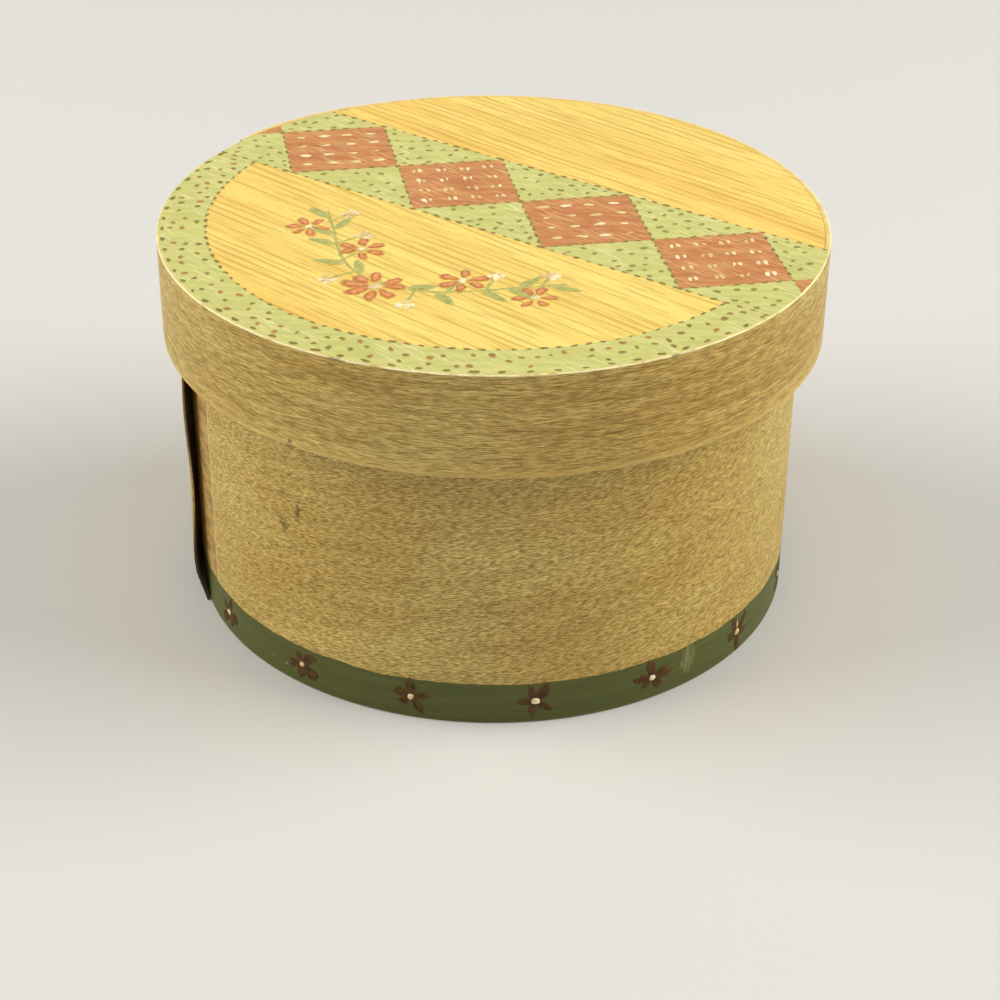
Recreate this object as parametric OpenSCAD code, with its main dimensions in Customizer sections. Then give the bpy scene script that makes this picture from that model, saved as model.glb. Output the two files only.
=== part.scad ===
// Round bentwood spice box with a lift-off lid: two thin bent bands, each lapped and tacked,
// with a flat board let into each. Millimetres, +Z up, origin at the centre of the underside.

/* [Box] */
// Outer diameter of the side band, apart from its lap
body_d = 118; // [90:1:150]
// Height of the closed box, from the table to the lid's top face
box_h = 75; // [55:1:110]
// Thickness of the side band's veneer
side_t = 1.1; // [0.8:0.1:1.6]
// Thickness of the base board
base_t = 3; // [2.4:0.2:5]

/* [Lid] */
// Height of the lid band
lid_h = 20; // [16:1:30]
// Thickness of the lid band's veneer
rim_t = 1.1; // [0.8:0.1:1.6]
// Thickness of the lid board
lid_board_t = 3; // [2.4:0.2:5]
// Gap all round between the side band and the lid band
lid_play = 3.4; // [3:0.1:5]

/* [Side band's lap] */
// Angle where the side lap comes loose, from +X towards +Y
side_lap_a = 177; // [150:1:215]
// Length of the side lap that is still glued down
side_lap_glued = 30; // [22:1:40]
// Length of the side lap that has sprung loose
side_lap_loose = 22; // [14:1:28]
// Gap between the sprung end and the lid band
tip_clear = 0.6; // [0.4:0.1:1.2]
// Width of the crack where the side lap comes loose
crack_w = 0.2; // [0.15:0.05:0.3]

/* [Lid band's lap] */
// Angle where the lid lap is thickest, from +X towards +Y
lid_lap_a = 135; // [110:1:150]
// Length over which the lid lap thickens
lid_lap_rise = 26; // [20:1:36]
// Length over which the lid lap thins to its end
lid_lap_fall = 10; // [8:1:16]

/* [Lap ends] */
// Thickness of a lap's thinned outer end
tip_t = 0.45; // [0.3:0.05:0.7]
// Width of the seam at a strip's inner end
seam_w = 0.4; // [0.2:0.1:0.8]
// Depth of the seam at a strip's inner end
seam_deep = 0.35; // [0.2:0.05:0.5]

/* [Tacks] */
// Number of tacks in the side lap
side_tacks = 4; // [3:1:6]
// Number of tacks in the lid lap
lid_tacks = 2; // [2:1:3]
// Distance of a row of tacks from the thick part of its lap
tack_back = 7; // [5:0.5:10]
// Distance of the end tacks from the side band's edges
side_tack_edge = 11; // [9:0.5:15]
// Distance of the end tacks from the lid band's edges
lid_tack_edge = 5.5; // [5:0.5:7]
// Diameter of a tack's shank
tack_d = 1; // [0.7:0.1:1.3]
// Diameter of a tack's head
tack_head_d = 2.6; // [2:0.1:3.2]
// Diameter of the flat on top of a tack's head
tack_flat_d = 1.6; // [1:0.1:1.8]
// Height of a tack's head
tack_head_t = 0.45; // [0.3:0.05:0.6]
// Length of a tack's point that is clinched inside
clinch_l = 2.2; // [1.6:0.1:3]

/* [Brads] */
// Number of brads that hold each board
brads = 6; // [4:1:10]
// Diameter of a brad
brad_d = 0.9; // [0.6:0.1:1.2]
// Length of a brad, with its point
brad_l = 10; // [7:0.5:14]
// Length of a brad's point
brad_point = 1.4; // [1:0.1:2]
// Thickness of band left over a brad's sunk head
brad_cover = 0.4; // [0.3:0.05:0.5]
// Angle of the first brad past each lap's thick part
brad_past_a = 36; // [30:1:42]

/* [Clearances] */
// Gap that the glue fills round each board
glue_gap = 0.05; // [0.02:0.01:0.1]
// Gap round a driven tack or brad
nail_gap = 0.02; // [0.01:0.01:0.05]

/* [Hidden] */
$fn = 180;

body_r = body_d / 2;
side_h = box_h - lid_board_t;
lid_r = body_r + lid_play + rim_t;
lid_z = box_h - lid_h;
tip_gap = lid_play - tip_clear - tip_t;
base_board_r = body_r - side_t - glue_gap;
lid_board_r = lid_r - rim_t - glue_gap;
base_brad_z = base_t / 2;
lid_brad_z = box_h - lid_board_t / 2;

stain = "#a87c3c";
golden = "#d8a545";
bare_wood = "#c9a873";
iron = "#5a5550";

function on_circle(r, a) = [r * cos(a), r * sin(a)];
function arc_angle(len, r) = len / r * 180 / PI;
// Heights of a row of n points between two ends
function row_z(n, low, high) = [for (i = [0 : n - 1]) low + i * (high - low) / (n - 1)];

// Radius of the circle that leaves p0 square to its normal n0 and passes through p1
function leaving_radius(p0, n0, p1) =
    let (d = p1 - p0)
    -(d * d) / (2 * (d * n0));

// Centre of the circle of radius rho through p0 and p1, on the left of the way from p0 to p1
function chord_centre(p0, p1, rho) =
    let (d = p1 - p0, len = norm(d), rise = sqrt(rho * rho - len * len / 4))
    (p0 + p1) / 2 + rise * [-d[1], d[0]] / len;

// Radius of the arc that is the outside of a lap, on the way up to its thick part
function rise_rho(r, t, a, rise) =
    leaving_radius(on_circle(r + t, a), on_circle(1, a), on_circle(r, a - arc_angle(rise, r)));

// Distance of a lap's outside from the axis, the angle back before its thick part
function lap_reach(r, t, a, rise, back) =
    let (rho = rise_rho(r, t, a, rise), off = r + t - rho)
    off * cos(back) + sqrt(pow(rho, 2) - pow(off * sin(back), 2));

// Wedge of the plane from angle a0 to a1
module wedge(a0, a1, r) {
    polygon([[0, 0], on_circle(2 * r, a0), on_circle(2 * r, (a0 + a1) / 2), on_circle(2 * r, a1)]);
}

// Outline of a bent strip: a ring with a lap that thickens over rise, up to the angle a, then
// runs out over fall to a thin end, which stands off the ring by gap
module strip_outline(r, t, a, rise, fall, gap) {
    a_start = a - arc_angle(rise, r);
    a_end = a + arc_angle(fall, r);
    thick = on_circle(r + t, a);
    up = rise_rho(r, t, a, rise);
    down = leaving_radius(thick, on_circle(1, a), on_circle(r + gap + tip_t, a_end));
    difference() {
        union() {
            circle(r);
            // The rise's arc runs into the ring at a_start, so the wedge begins well before it
            intersection() {
                wedge(2 * a_start - a, a, r);
                translate(on_circle(r + t - up, a)) circle(up);
            }
            intersection() {
                wedge(a, a_end, r);
                difference() {
                    translate(on_circle(r + t - down, a)) circle(down);
                    if (gap > 0) sprung_gap(r, a, a_end, gap, down);
                }
            }
        }
        circle(r - t);
        // Seam where the strip's inner end lies under the lap
        rotate(a_start) translate([r - t, 0]) square([2 * seam_deep, seam_w], center = true);
    }
}

// Disc less the ring, whose rim is the inner face of a sprung lap
module sprung_gap(r, a, a_end, gap, rho) {
    root = on_circle(r + crack_w, a);
    tip = on_circle(r + gap, a_end);
    difference() {
        translate(chord_centre(root, tip, rho)) circle(rho);
        circle(r);
    }
}

// One tack on the X axis, driven inwards and clinched down the inside; reach is the outside
// of the wood and inside the inner face
module tack(reach, inside, gap) {
    seat = reach - pow(tack_head_d / 2, 2) / (2 * reach);
    bend = inside - tack_d / 2;
    translate([bend, 0, 0]) rotate([0, 90, 0]) cylinder(d = tack_d + 2 * gap, h = seat - bend);
    translate([seat, 0, 0]) rotate([0, 90, 0])
        cylinder(d1 = tack_head_d + 2 * gap, d2 = tack_flat_d + 2 * gap, h = tack_head_t);
    translate([bend, 0, 0]) sphere(d = tack_d);
    translate([bend, 0, -clinch_l]) cylinder(d1 = tack_d / 3, d2 = tack_d, h = clinch_l);
}

// Row of tacks up a lap, tack_back before its thick part
module tack_row(r, t, a, rise, heights, gap = 0) {
    back = arc_angle(tack_back, r);
    for (z = heights)
        rotate(a - back) translate([0, 0, z])
            tack(lap_reach(r, t, a, rise, back), r - t - nail_gap, gap);
}

module side_tack_row(gap = 0) {
    tack_row(body_r, side_t, side_lap_a, side_lap_glued,
        row_z(side_tacks, side_tack_edge, side_h - side_tack_edge), gap);
}

module lid_tack_row(gap = 0) {
    tack_row(lid_r, rim_t, lid_lap_a, lid_lap_rise,
        row_z(lid_tacks, lid_z + lid_tack_edge, box_h - lid_tack_edge), gap);
}

// Ring of brads driven inwards through a band of radius r
module brad_ring(r, a, z, gap = 0) {
    for (i = [0 : brads - 1])
        rotate(a + brad_past_a + i * 360 / brads)
            translate([r - brad_cover + gap, 0, z]) rotate([0, -90, 0]) {
                cylinder(d = brad_d + 2 * gap, h = brad_l - brad_point);
                translate([0, 0, brad_l - brad_point])
                    cylinder(d1 = brad_d + 2 * gap, d2 = brad_d / 5, h = brad_point + 2 * gap);
            }
}

module side_band() {
    color(stain) difference() {
        linear_extrude(side_h)
            strip_outline(body_r, side_t, side_lap_a, side_lap_glued, side_lap_loose, tip_gap);
        side_tack_row(nail_gap);
        brad_ring(body_r, side_lap_a, base_brad_z, nail_gap);
    }
}

module base_board() {
    color(bare_wood) difference() {
        cylinder(r = base_board_r, h = base_t);
        brad_ring(body_r, side_lap_a, base_brad_z, nail_gap);
    }
}

module side_lap_tacks() {
    color(iron) side_tack_row();
}

module base_brads() {
    color(iron) brad_ring(body_r, side_lap_a, base_brad_z);
}

module lid_band() {
    color(stain) difference() {
        translate([0, 0, lid_z]) linear_extrude(lid_h)
            strip_outline(lid_r, rim_t, lid_lap_a, lid_lap_rise, lid_lap_fall, 0);
        lid_tack_row(nail_gap);
        brad_ring(lid_r, lid_lap_a, lid_brad_z, nail_gap);
    }
}

module lid_board() {
    color(golden) difference() {
        translate([0, 0, side_h]) cylinder(r = lid_board_r, h = lid_board_t);
        brad_ring(lid_r, lid_lap_a, lid_brad_z, nail_gap);
    }
}

module lid_lap_tacks() {
    color(iron) lid_tack_row();
}

module lid_brads() {
    color(iron) brad_ring(lid_r, lid_lap_a, lid_brad_z);
}

side_band();
base_board();
side_lap_tacks();
base_brads();
lid_band();
lid_board();
lid_lap_tacks();
lid_brads();
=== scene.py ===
import math
import random

import bpy
from mathutils import Matrix, Vector


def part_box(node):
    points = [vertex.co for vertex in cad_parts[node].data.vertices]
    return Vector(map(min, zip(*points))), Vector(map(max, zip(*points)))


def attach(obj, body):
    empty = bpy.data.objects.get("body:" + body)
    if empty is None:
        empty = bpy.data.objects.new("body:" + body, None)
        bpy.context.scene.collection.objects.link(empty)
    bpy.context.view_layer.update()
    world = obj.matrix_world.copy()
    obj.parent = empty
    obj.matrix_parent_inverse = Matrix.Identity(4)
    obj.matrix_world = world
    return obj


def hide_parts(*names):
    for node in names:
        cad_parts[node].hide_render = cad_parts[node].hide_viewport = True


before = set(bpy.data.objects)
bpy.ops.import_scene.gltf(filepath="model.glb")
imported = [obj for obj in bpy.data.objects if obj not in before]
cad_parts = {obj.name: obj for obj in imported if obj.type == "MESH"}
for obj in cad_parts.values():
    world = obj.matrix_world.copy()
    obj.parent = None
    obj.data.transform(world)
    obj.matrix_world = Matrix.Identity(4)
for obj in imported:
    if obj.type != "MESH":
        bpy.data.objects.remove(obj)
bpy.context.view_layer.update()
mm = 0.001
print("frame loaded")


# Sizes that the frame gives, in millimetres
def nodeBox(node):
    low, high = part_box(node)
    return low / mm, high / mm


glueGap = 0.05
sideLow, sideHigh = nodeBox("side_band")
lidLow, lidHigh = nodeBox("lid_band")
bodyR = sideHigh.x
sideT = bodyR - nodeBox("base_board")[1].x - glueGap
lidR = lidHigh.x
boardR = nodeBox("lid_board")[1].x
rimT = lidR - boardR - glueGap
topZ = lidHigh.z


def polar(radius, angle):
    return Vector((radius * math.cos(math.radians(angle)), radius * math.sin(math.radians(angle))))


# Helpers for node trees
def feed(tree, socket, value):
    if isinstance(value, bpy.types.NodeSocket):
        tree.links.new(value, socket)
    else:
        socket.default_value = value


def put(tree, kind, ins=None, **props):
    node = tree.nodes.new(kind)
    for key, value in props.items():
        setattr(node, key, value)
    for key, value in (ins or {}).items():
        feed(tree, node.inputs[key], value)
    return node


def calc(tree, operation, a, b=0.0):
    return put(tree, "ShaderNodeMath", {0: a, 1: b}, operation=operation).outputs[0]


def times(tree, a, b):
    return calc(tree, "MULTIPLY", a, b)


def flip(tree, share):
    return calc(tree, "SUBTRACT", 1.0, share)


def vector(tree, ins):
    return put(tree, "ShaderNodeCombineXYZ", ins).outputs[0]


def parts(tree, place):
    return put(tree, "ShaderNodeSeparateXYZ", {0: place}).outputs


def rise(tree, value, low, high):
    ins = {"Value": value, "From Min": low, "From Max": high}
    return put(tree, "ShaderNodeMapRange", ins, interpolation_type="SMOOTHSTEP").outputs[0]


def tint(tree, factor, a, b, how="MIX"):
    node = put(tree, "ShaderNodeMix", {0: factor, 6: a, 7: b}, data_type="RGBA", blend_type=how)
    return node.outputs[2]


# Soft noise of given sizes; turned after it is stretched, so that its cells don't line up with the piece
def blotch(tree, place, sizes, detail=2.0, rough=0.5, shift=0.0):
    stretch = {"Vector": place, "Scale": [1 / s for s in sizes], "Location": (shift, shift, shift),
               "Rotation": (0.6, 0.4, 0.7)}
    at = put(tree, "ShaderNodeMapping", stretch)
    ins = {"Vector": at.outputs[0], "Scale": 1.0, "Detail": detail, "Roughness": rough}
    return put(tree, "ShaderNodeTexNoise", ins).outputs[0]


def bump(tree, height, depth, strength=1.0):
    ins = {"Height": height, "Distance": depth * mm, "Strength": strength}
    return put(tree, "ShaderNodeBump", ins).outputs[0]


def tone(red, green, blue):
    def linear(c):
        c /= 255
        return c / 12.92 if c <= 0.04045 else ((c + 0.055) / 1.055) ** 2.4
    return (linear(red), linear(green), linear(blue), 1.0)


def newMaterial(name, shine=0.3, metal=0.0):
    material = bpy.data.materials.new(name)
    material.use_nodes = True
    tree = material.node_tree
    tree.nodes.clear()
    shader = put(tree, "ShaderNodeBsdfPrincipled", {"Specular IOR Level": shine, "Metallic": metal})
    put(tree, "ShaderNodeOutputMaterial", {"Surface": shader.outputs[0]})
    return material, tree, shader


def gloss(tree, shader, colour, roughness, normal):
    feed(tree, shader.inputs["Base Color"], colour)
    feed(tree, shader.inputs["Roughness"], roughness)
    feed(tree, shader.inputs["Normal"], normal)


# Object coordinates in millimetres, turned about Z
def objectPlace(tree, turn=0.0):
    place = put(tree, "ShaderNodeTexCoord").outputs["Object"]
    ins = {"Vector": place, "Scale": (1 / mm, 1 / mm, 1 / mm), "Rotation": (0, 0, math.radians(turn))}
    return put(tree, "ShaderNodeMapping", ins).outputs[0]


# Camera at the photograph's viewing angle
cameraSet = {
    "back": 393.1, "height": 251.1, "yaw": 0.23, "pitch": 31.27, "roll": 0.48,
    "lens": 81.2, "sensor": 36.0, "nearest": 0.01,
}


def makeCamera(c):
    data = bpy.data.cameras.new("camera")
    data.lens = c["lens"]
    data.sensor_width = c["sensor"]
    data.clip_start = c["nearest"]
    camera = bpy.data.objects.new("camera", data)
    bpy.context.scene.collection.objects.link(camera)
    yaw = Matrix.Rotation(-math.radians(c["yaw"]), 4, "Z")
    pitch = Matrix.Rotation(math.radians(90 - c["pitch"]), 4, "X")
    turn = yaw @ pitch @ Matrix.Rotation(math.radians(c["roll"]), 4, "Z")
    camera.matrix_world = Matrix.Translation(Vector((0, -c["back"], c["height"])) * mm) @ turn
    bpy.context.scene.camera = camera


makeCamera(cameraSet)


# Floor, backdrop and soft lamps
stageSet = {
    "floor": tone(226, 226, 224), "floorShade": tone(220, 220, 219),
    "reach": 4.0, "sides": 96, "fadeFrom": 0.5, "fadeTo": 1.5,
    "worldTone": (1.0, 0.985, 0.96, 1.0), "worldLight": 0.24, "worldSeen": 0.8,
    "lampTone": (1.0, 0.965, 0.9), "lampAim": (0.0, 0.0, 0.04),
}
lampSet = [
    {"name": "topLamp", "at": (0.0, -0.25, 0.9), "size": 0.7, "power": 0.7, "mirrored": True},
    {"name": "leftLamp", "at": (-1.5, 0.0, 1.0), "size": 1.4, "power": 25.5, "mirrored": False},
    {"name": "rightLamp", "at": (1.5, 0.0, 1.0), "size": 1.4, "power": 29.5, "mirrored": False},
]


# Rays that look at a surface, as against those that light it
def lookingRay(tree):
    ray = put(tree, "ShaderNodeLightPath").outputs
    seen = calc(tree, "MAXIMUM", ray["Is Camera Ray"], ray["Is Glossy Ray"])
    return calc(tree, "MAXIMUM", seen, ray["Is Transmission Ray"])


# Floor that fades into the sky away from the object
def makeStage(s):
    material, tree, shader = newMaterial("paleFloor", 0.05)
    place = put(tree, "ShaderNodeTexCoord").outputs["Object"]
    cloud = blotch(tree, place, (0.5, 0.5, 0.5), 3.0)
    colour = tint(tree, cloud, s["floor"], s["floorShade"])
    gloss(tree, shader, colour, 0.6, bump(tree, blotch(tree, place, (0.004, 0.004, 0.004)), 0.02))
    away = put(tree, "ShaderNodeVectorMath", {0: place}, operation="LENGTH").outputs["Value"]
    fade = times(tree, rise(tree, away, s["fadeFrom"], s["fadeTo"]), lookingRay(tree))
    sky = put(tree, "ShaderNodeEmission", {"Color": s["worldTone"], "Strength": s["worldSeen"]}).outputs[0]
    mixed = put(tree, "ShaderNodeMixShader", {0: fade, 1: shader.outputs[0], 2: sky}).outputs[0]
    feed(tree, tree.nodes["Material Output"].inputs["Surface"], mixed)
    mesh = bpy.data.meshes.new("floor")
    verts = [(*polar(s["reach"], 360 * k / s["sides"]), 0) for k in range(s["sides"])]
    mesh.from_pydata(verts, [], [tuple(range(s["sides"]))])
    mesh.materials.append(material)
    floor = bpy.data.objects.new("floor", mesh)
    bpy.context.scene.collection.objects.link(floor)


# Sky that looks pale where it is seen and lights the object less
def makeWorld(s):
    world = bpy.data.worlds.new("world")
    world.use_nodes = True
    tree = world.node_tree
    strength = calc(tree, "MULTIPLY_ADD", lookingRay(tree), s["worldSeen"] - s["worldLight"])
    feed(tree, strength.node.inputs[2], s["worldLight"])
    background = tree.nodes["Background"]
    feed(tree, background.inputs["Color"], s["worldTone"])
    feed(tree, background.inputs["Strength"], strength)
    bpy.context.scene.world = world
    bpy.context.scene.view_settings.view_transform = "Standard"


def makeLamp(lamp, s):
    data = bpy.data.lights.new(lamp["name"], "AREA")
    data.size = lamp["size"]
    data.energy = lamp["power"]
    data.color = s["lampTone"]
    lampObject = bpy.data.objects.new(lamp["name"], data)
    lampObject.visible_glossy = lamp["mirrored"]
    bpy.context.scene.collection.objects.link(lampObject)
    at = Vector(lamp["at"])
    aim = Vector(s["lampAim"]) - at
    lampObject.matrix_world = Matrix.Translation(at) @ aim.to_track_quat("-Z", "Y").to_matrix().to_4x4()


makeStage(stageSet)
makeWorld(stageSet)
for lamp in lampSet:
    makeLamp(lamp, stageSet)
print("camera, floor and lamps made")


# Bent strips: the side band and the lid band, each one strip lapped over itself
sideStrip = {
    "radius": bodyR, "thick": sideT, "low": sideLow.z, "high": sideHigh.z, "freeEdge": "high",
    "angle": 177.0, "rise": 30.0, "fall": 22.0, "gap": 2.35, "tip": 0.35, "crack": 0.2,
    "edge": 0.3, "innerEdge": 0.08, "rows": 24, "uneven": 0.05,
    "wearTop": 0.6, "wearLow": 0.3, "lowHighlight": 0.0, "endWear": 0.0,
    # rubbed: painted highlights along the lap's end edge, where it catches light
    "rubbed": [(24.0, 8.0, 1.0), (42.0, 9.0, 0.6)],  # height, reach and amount, on the lap's end
    "warp": 0.3, "warpTop": 43.0, "warpLong": 34.0, "drawn": 0.25, "curl": 1.7, "curlHigh": 5.0,
    "chips": [],  # angle, width and depth, in the lower edge
    "darkMarks": [(230.3, 34.4, 1.6, 2.2, 2.4), (233.6, 38.2, 1.1, 3.4, 2.4)],  # as spotAt takes them
    "length": 1.2, "height": 0.18, "slope": 0.15, "ripple": 0.9, "dashes": 0.0, "band": 0.7,
    "light": tone(235, 211, 129), "dark": tone(159, 130, 63),
    "inside": tone(228, 204, 156), "insideDark": tone(202, 172, 120),
    "worn": tone(226, 200, 142), "crownAndHighlight": tone(226, 198, 138), "crownAndHighlightDark": tone(188, 152, 92),
}
lidStrip = {
    "radius": lidR, "thick": rimT, "low": lidLow.z, "high": topZ, "freeEdge": "low",
    "angle": 135.0, "rise": 26.0, "fall": 10.0, "gap": 0.0, "tip": 0.45, "crack": 0.0,
    "edge": 0.3, "innerEdge": 0.05, "rows": 7, "uneven": 0.07,
    # The lid's lower edge takes a golden painted highlight, as a share of the crown tint
    "wearTop": 1.0, "wearLow": 0.15, "lowHighlight": 0.4, "endWear": 0.35,
    "rubbed": [],
    "warp": 0.0, "warpTop": 0.0, "warpLong": 1.0, "drawn": 0.0, "curl": 0.0, "curlHigh": 1.0,
    "chips": [(236.3, 0.7, 0.7), (286.0, 0.9, 0.3)],
    "darkMarks": [(236.3, 56.0, 0.75, 1.1, 0.9), (245.5, 74.8, 2.4, 0.4, 1.4), (299.0, 74.8, 1.8, 0.3, 1.4)],
    "length": 2.5, "height": 0.17, "slope": 0.0, "ripple": 0.4, "dashes": 0.9, "band": 1.0,
    "light": tone(235, 211, 130), "dark": tone(166, 137, 67),
    "inside": tone(226, 202, 154), "insideDark": tone(200, 170, 118),
    "worn": tone(255, 249, 195), "crownAndHighlight": tone(252, 222, 132), "crownAndHighlightDark": tone(212, 170, 88),
}
# Steps along a strip in degrees; its play, the thickness of its inner end and the crack under its lap
stripFit = {"step": 0.75, "endStep": 0.15, "play": 0.02, "thinEnd": 0.04, "apart": 0.01}
uvUnit = 100.0


def leavingRadius(start, normal, end):
    step = end - start
    return -step.dot(step) / (2 * step.dot(normal))


def chordCentre(start, end, radius):
    step = end - start
    lift = math.sqrt(radius ** 2 - step.length ** 2 / 4)
    return (start + end) / 2 + Vector((-step.y, step.x)) * (lift / step.length)


def rayToCircle(centre, radius, angle):
    along = centre.dot(polar(1, angle))
    return along + math.sqrt(radius ** 2 - centre.length_squared + along ** 2)


# Angle, inner and outer distance from the axis along a strip, from its inner end to its outer end
def stripStations(s):
    r, t = s["radius"], s["thick"]
    start = s["angle"] - math.degrees(s["rise"] / r)
    end = s["angle"] + math.degrees(s["fall"] / r)
    normal = polar(1, s["angle"])
    thick = polar(r + t, s["angle"])
    upR = leavingRadius(thick, normal, polar(r, start))
    up = normal * (r + t - upR)
    downR = leavingRadius(thick, normal, polar(r + s["gap"] + s["tip"], end))
    down = normal * (r + t - downR)
    under = Vector((0, 0))
    underR = r
    if s["gap"]:
        under = chordCentre(polar(r + s["crack"], s["angle"]), polar(r + s["gap"], end), downR)
        underR = downR
    count = round((360 + end - start) / stripFit["step"])
    angles = [start + (360 + end - start) * k / count for k in range(count + 1)]
    for angle in angles[:-1] + [angles[-1] - stripFit["endStep"]] + angles[-1:]:
        if angle < s["angle"]:
            outer = rayToCircle(up, upR, angle) - t - stripFit["play"]
            yield angle, r - t, max(outer, r - t + stripFit["thinEnd"])
        elif angle < start + 360:
            yield angle, r - t, r
        elif angle < s["angle"] + 360:
            outer = rayToCircle(up, upR, angle)
            yield angle, outer - t, outer
        else:
            inner = rayToCircle(under, underR, angle) + stripFit["apart"]
            yield angle, inner, rayToCircle(down, downR, angle)


# Cross-section of a strip with softened edges: distance from the axis, height, outer face, wear, crown tint;
# on the lower edge that tint is a painted highlight
def stripSection(inner, outer, low, high, s):
    thin = 0.45 * (outer - inner)
    soft, crisp = min(s["edge"], thin), min(s["innerEdge"], thin)
    tall = high - low - 2 * soft
    near, far = 0.35, 1.1  # rows beside the edges, where the gold fades
    heights = [near, far] + [far + (tall - 2 * far) * k / s["rows"] for k in range(1, s["rows"])]
    heights += [tall - far, tall - near]
    # Painted highlight along the lower edge, fading over the first rows above it
    gold = s["lowHighlight"]
    fade = [0.8 * gold, 0.3 * gold] + [0.0] * (len(heights) - 2)
    rubbed = [share * s["wearTop"] for share in (0.25, 1.0, 1.0, 0.5)]
    worn = 0.1 * s["wearTop"]
    corner = [math.radians(30 * k) for k in range(4)]
    arc = [(soft * math.sin(a), soft * math.cos(a)) for a in corner]
    points = [(outer - soft + x, low + soft - z, 1.0, s["wearLow"], gold) for x, z in arc]
    points += [(outer, low + soft + h, 1.0, 0.0, faded) for h, faded in zip(heights, fade)]
    points += [(outer - soft + z, high - soft + x, 1.0, rubbed[k], k / 3) for k, (x, z) in enumerate(arc)]
    arc = [(crisp * math.sin(a), crisp * math.cos(a)) for a in corner]
    points += [(inner + crisp - x, high - crisp + z, 0.0, worn, 1 - k / 3) for k, (x, z) in enumerate(arc)]
    points += [(inner, high - soft - h, 0.0, 0.0, 0.0) for h in heights]
    points += [(inner + crisp - z, low + crisp - x, 0.0, s["wearLow"], 0.0) for x, z in arc]
    return points


def newObject(name, mesh, body):
    made = bpy.data.objects.new(name, mesh)
    bpy.context.scene.collection.objects.link(made)
    if body:
        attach(made, body)
    return made


def pointFloats(mesh, name, values):
    mesh.attributes.new(name, "FLOAT", "POINT").data.foreach_set("value", values)


# How far the loose end of a lap is warped out at a height, growing towards its tip
def lapSwell(s, angle, last, z):
    loose = max(0.0, (angle - 360 - s["angle"]) / (last - 360 - s["angle"]))
    swell = s["warp"] * math.cos(math.tau * (z - s["warpTop"]) / s["warpLong"]) - s["drawn"]
    return (swell - s["curl"] * math.exp(-(z / s["curlHigh"]) ** 2)) * loose ** 2


# Unevenness of a cut edge along its run
def edgeSway(run, amount):
    waves = math.sin(run * 0.11 + 1.0) + 0.6 * math.sin(run * 0.37) + 0.4 * math.sin(run * 0.83)
    return amount * abs(waves) / 2


def makeStrip(name, s):
    verts, places, outerFace, wear, crownAndHighlight, endDirtAndShade = [], [], [], [], [], []
    stations = list(stripStations(s))
    first = stations[0][0]
    last = stations[-1][0]
    ring = 0
    for angle, inner, outer in stations:
        run = math.radians(angle - first) * s["radius"]
        sway = edgeSway(run, s["uneven"])
        edgeLow = s["low"] + (sway if s["freeEdge"] == "low" else 0)
        for chip, wide, deep in s["chips"]:
            edgeLow += deep * math.exp(-(math.radians(angle - chip) * s["radius"] / wide) ** 2)
        edgeHigh = s["high"] - (sway if s["freeEdge"] == "high" else 0)
        section = stripSection(inner, outer, edgeLow, edgeHigh, s)
        ring = len(section)
        for radius, z, face, worn, top in section:
            flat = polar(radius + lapSwell(s, angle, last, z), angle)
            verts.append((flat.x * mm, flat.y * mm, z * mm))
            places.append((run / uvUnit, z / uvUnit))
            outerFace.append(face)
            wear.append(worn)
            crownAndHighlight.append(top)
            endDirtAndShade.append(0.0)
    # End face of each strip darkened: painted shade with some dirt. Painted highlights from rubbed lighten
    # the side lap's end where it catches light
    for k in range(len(verts) - ring, len(verts)):
        z = verts[k][2] / mm
        endGlints = [amount * math.exp(-((z - at) / far) ** 2) for at, far, amount in s["rubbed"]]
        wear[k] = s["endWear"] + sum(endGlints)
        endDirtAndShade[k] = 1.0
    faces = []
    for k in range(len(stations) - 1):
        for j in range(ring):
            a, b = k * ring + j, k * ring + (j + 1) % ring
            faces.append((a, a + ring, b + ring, b))
    faces.append(tuple(range(ring)))
    faces.append(tuple(reversed(range(len(verts) - ring, len(verts)))))
    mesh = bpy.data.meshes.new(name)
    mesh.from_pydata(verts, [], faces)
    mesh.polygons.foreach_set("use_smooth", [True] * (len(faces) - 2) + [False, False])
    pointFloats(mesh, "outerFace", outerFace)
    pointFloats(mesh, "wear", wear)
    pointFloats(mesh, "crownAndHighlight", crownAndHighlight)
    pointFloats(mesh, "endDirtAndShade", endDirtAndShade)
    uv = mesh.uv_layers.new(name="strip")
    for loop in mesh.loops:
        uv.data[loop.index].uv = places[loop.vertex_index]
    mesh.update()
    return mesh


def attribute(tree, name):
    return put(tree, "ShaderNodeAttribute", attribute_name=name).outputs["Fac"]


# Colours that both strips share
veneerSet = {
    "streak": tone(232, 225, 210), "cloud": tone(238, 224, 204), "clear": tone(255, 255, 255),
    # lapEnd: painted shade with some dirt on each strip's end face
    "pore": tone(112, 86, 38), "mark": tone(76, 59, 27), "lapEnd": tone(84, 66, 42),
}


# Stain over the grain: flecks, pores, streaks along the strip and broad clouds
def stain(tree, place, grain, fleck, s):
    colour = tint(tree, rise(tree, fleck, 0.34, 0.66), s["dark"], s["light"])
    pore = rise(tree, blotch(tree, grain, (1.1, 0.12, 1), 1.0, 0.5, 4.9), 0.57, 0.68)
    dash = rise(tree, blotch(tree, grain, (6, 0.32, 1), 1.0, 0.5, 2.7), 0.58, 0.7)
    pore = calc(tree, "MAXIMUM", pore, times(tree, dash, s["dashes"]))
    colour = tint(tree, times(tree, pore, 0.5), colour, veneerSet["pore"])
    streak = rise(tree, blotch(tree, grain, (34, 1.5, 1), 3.0, 0.6, 7.3), 0.34, 0.66)
    shade = tint(tree, streak, veneerSet["streak"], veneerSet["clear"])
    colour = tint(tree, s["band"], colour, shade, "MULTIPLY")
    cloud = rise(tree, blotch(tree, place, (38, 24, 1), 2.0, 0.5, 3.1), 0.3, 0.7)
    warm = tint(tree, cloud, veneerSet["cloud"], veneerSet["clear"])
    return tint(tree, 0.7, colour, warm, "MULTIPLY")


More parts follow.
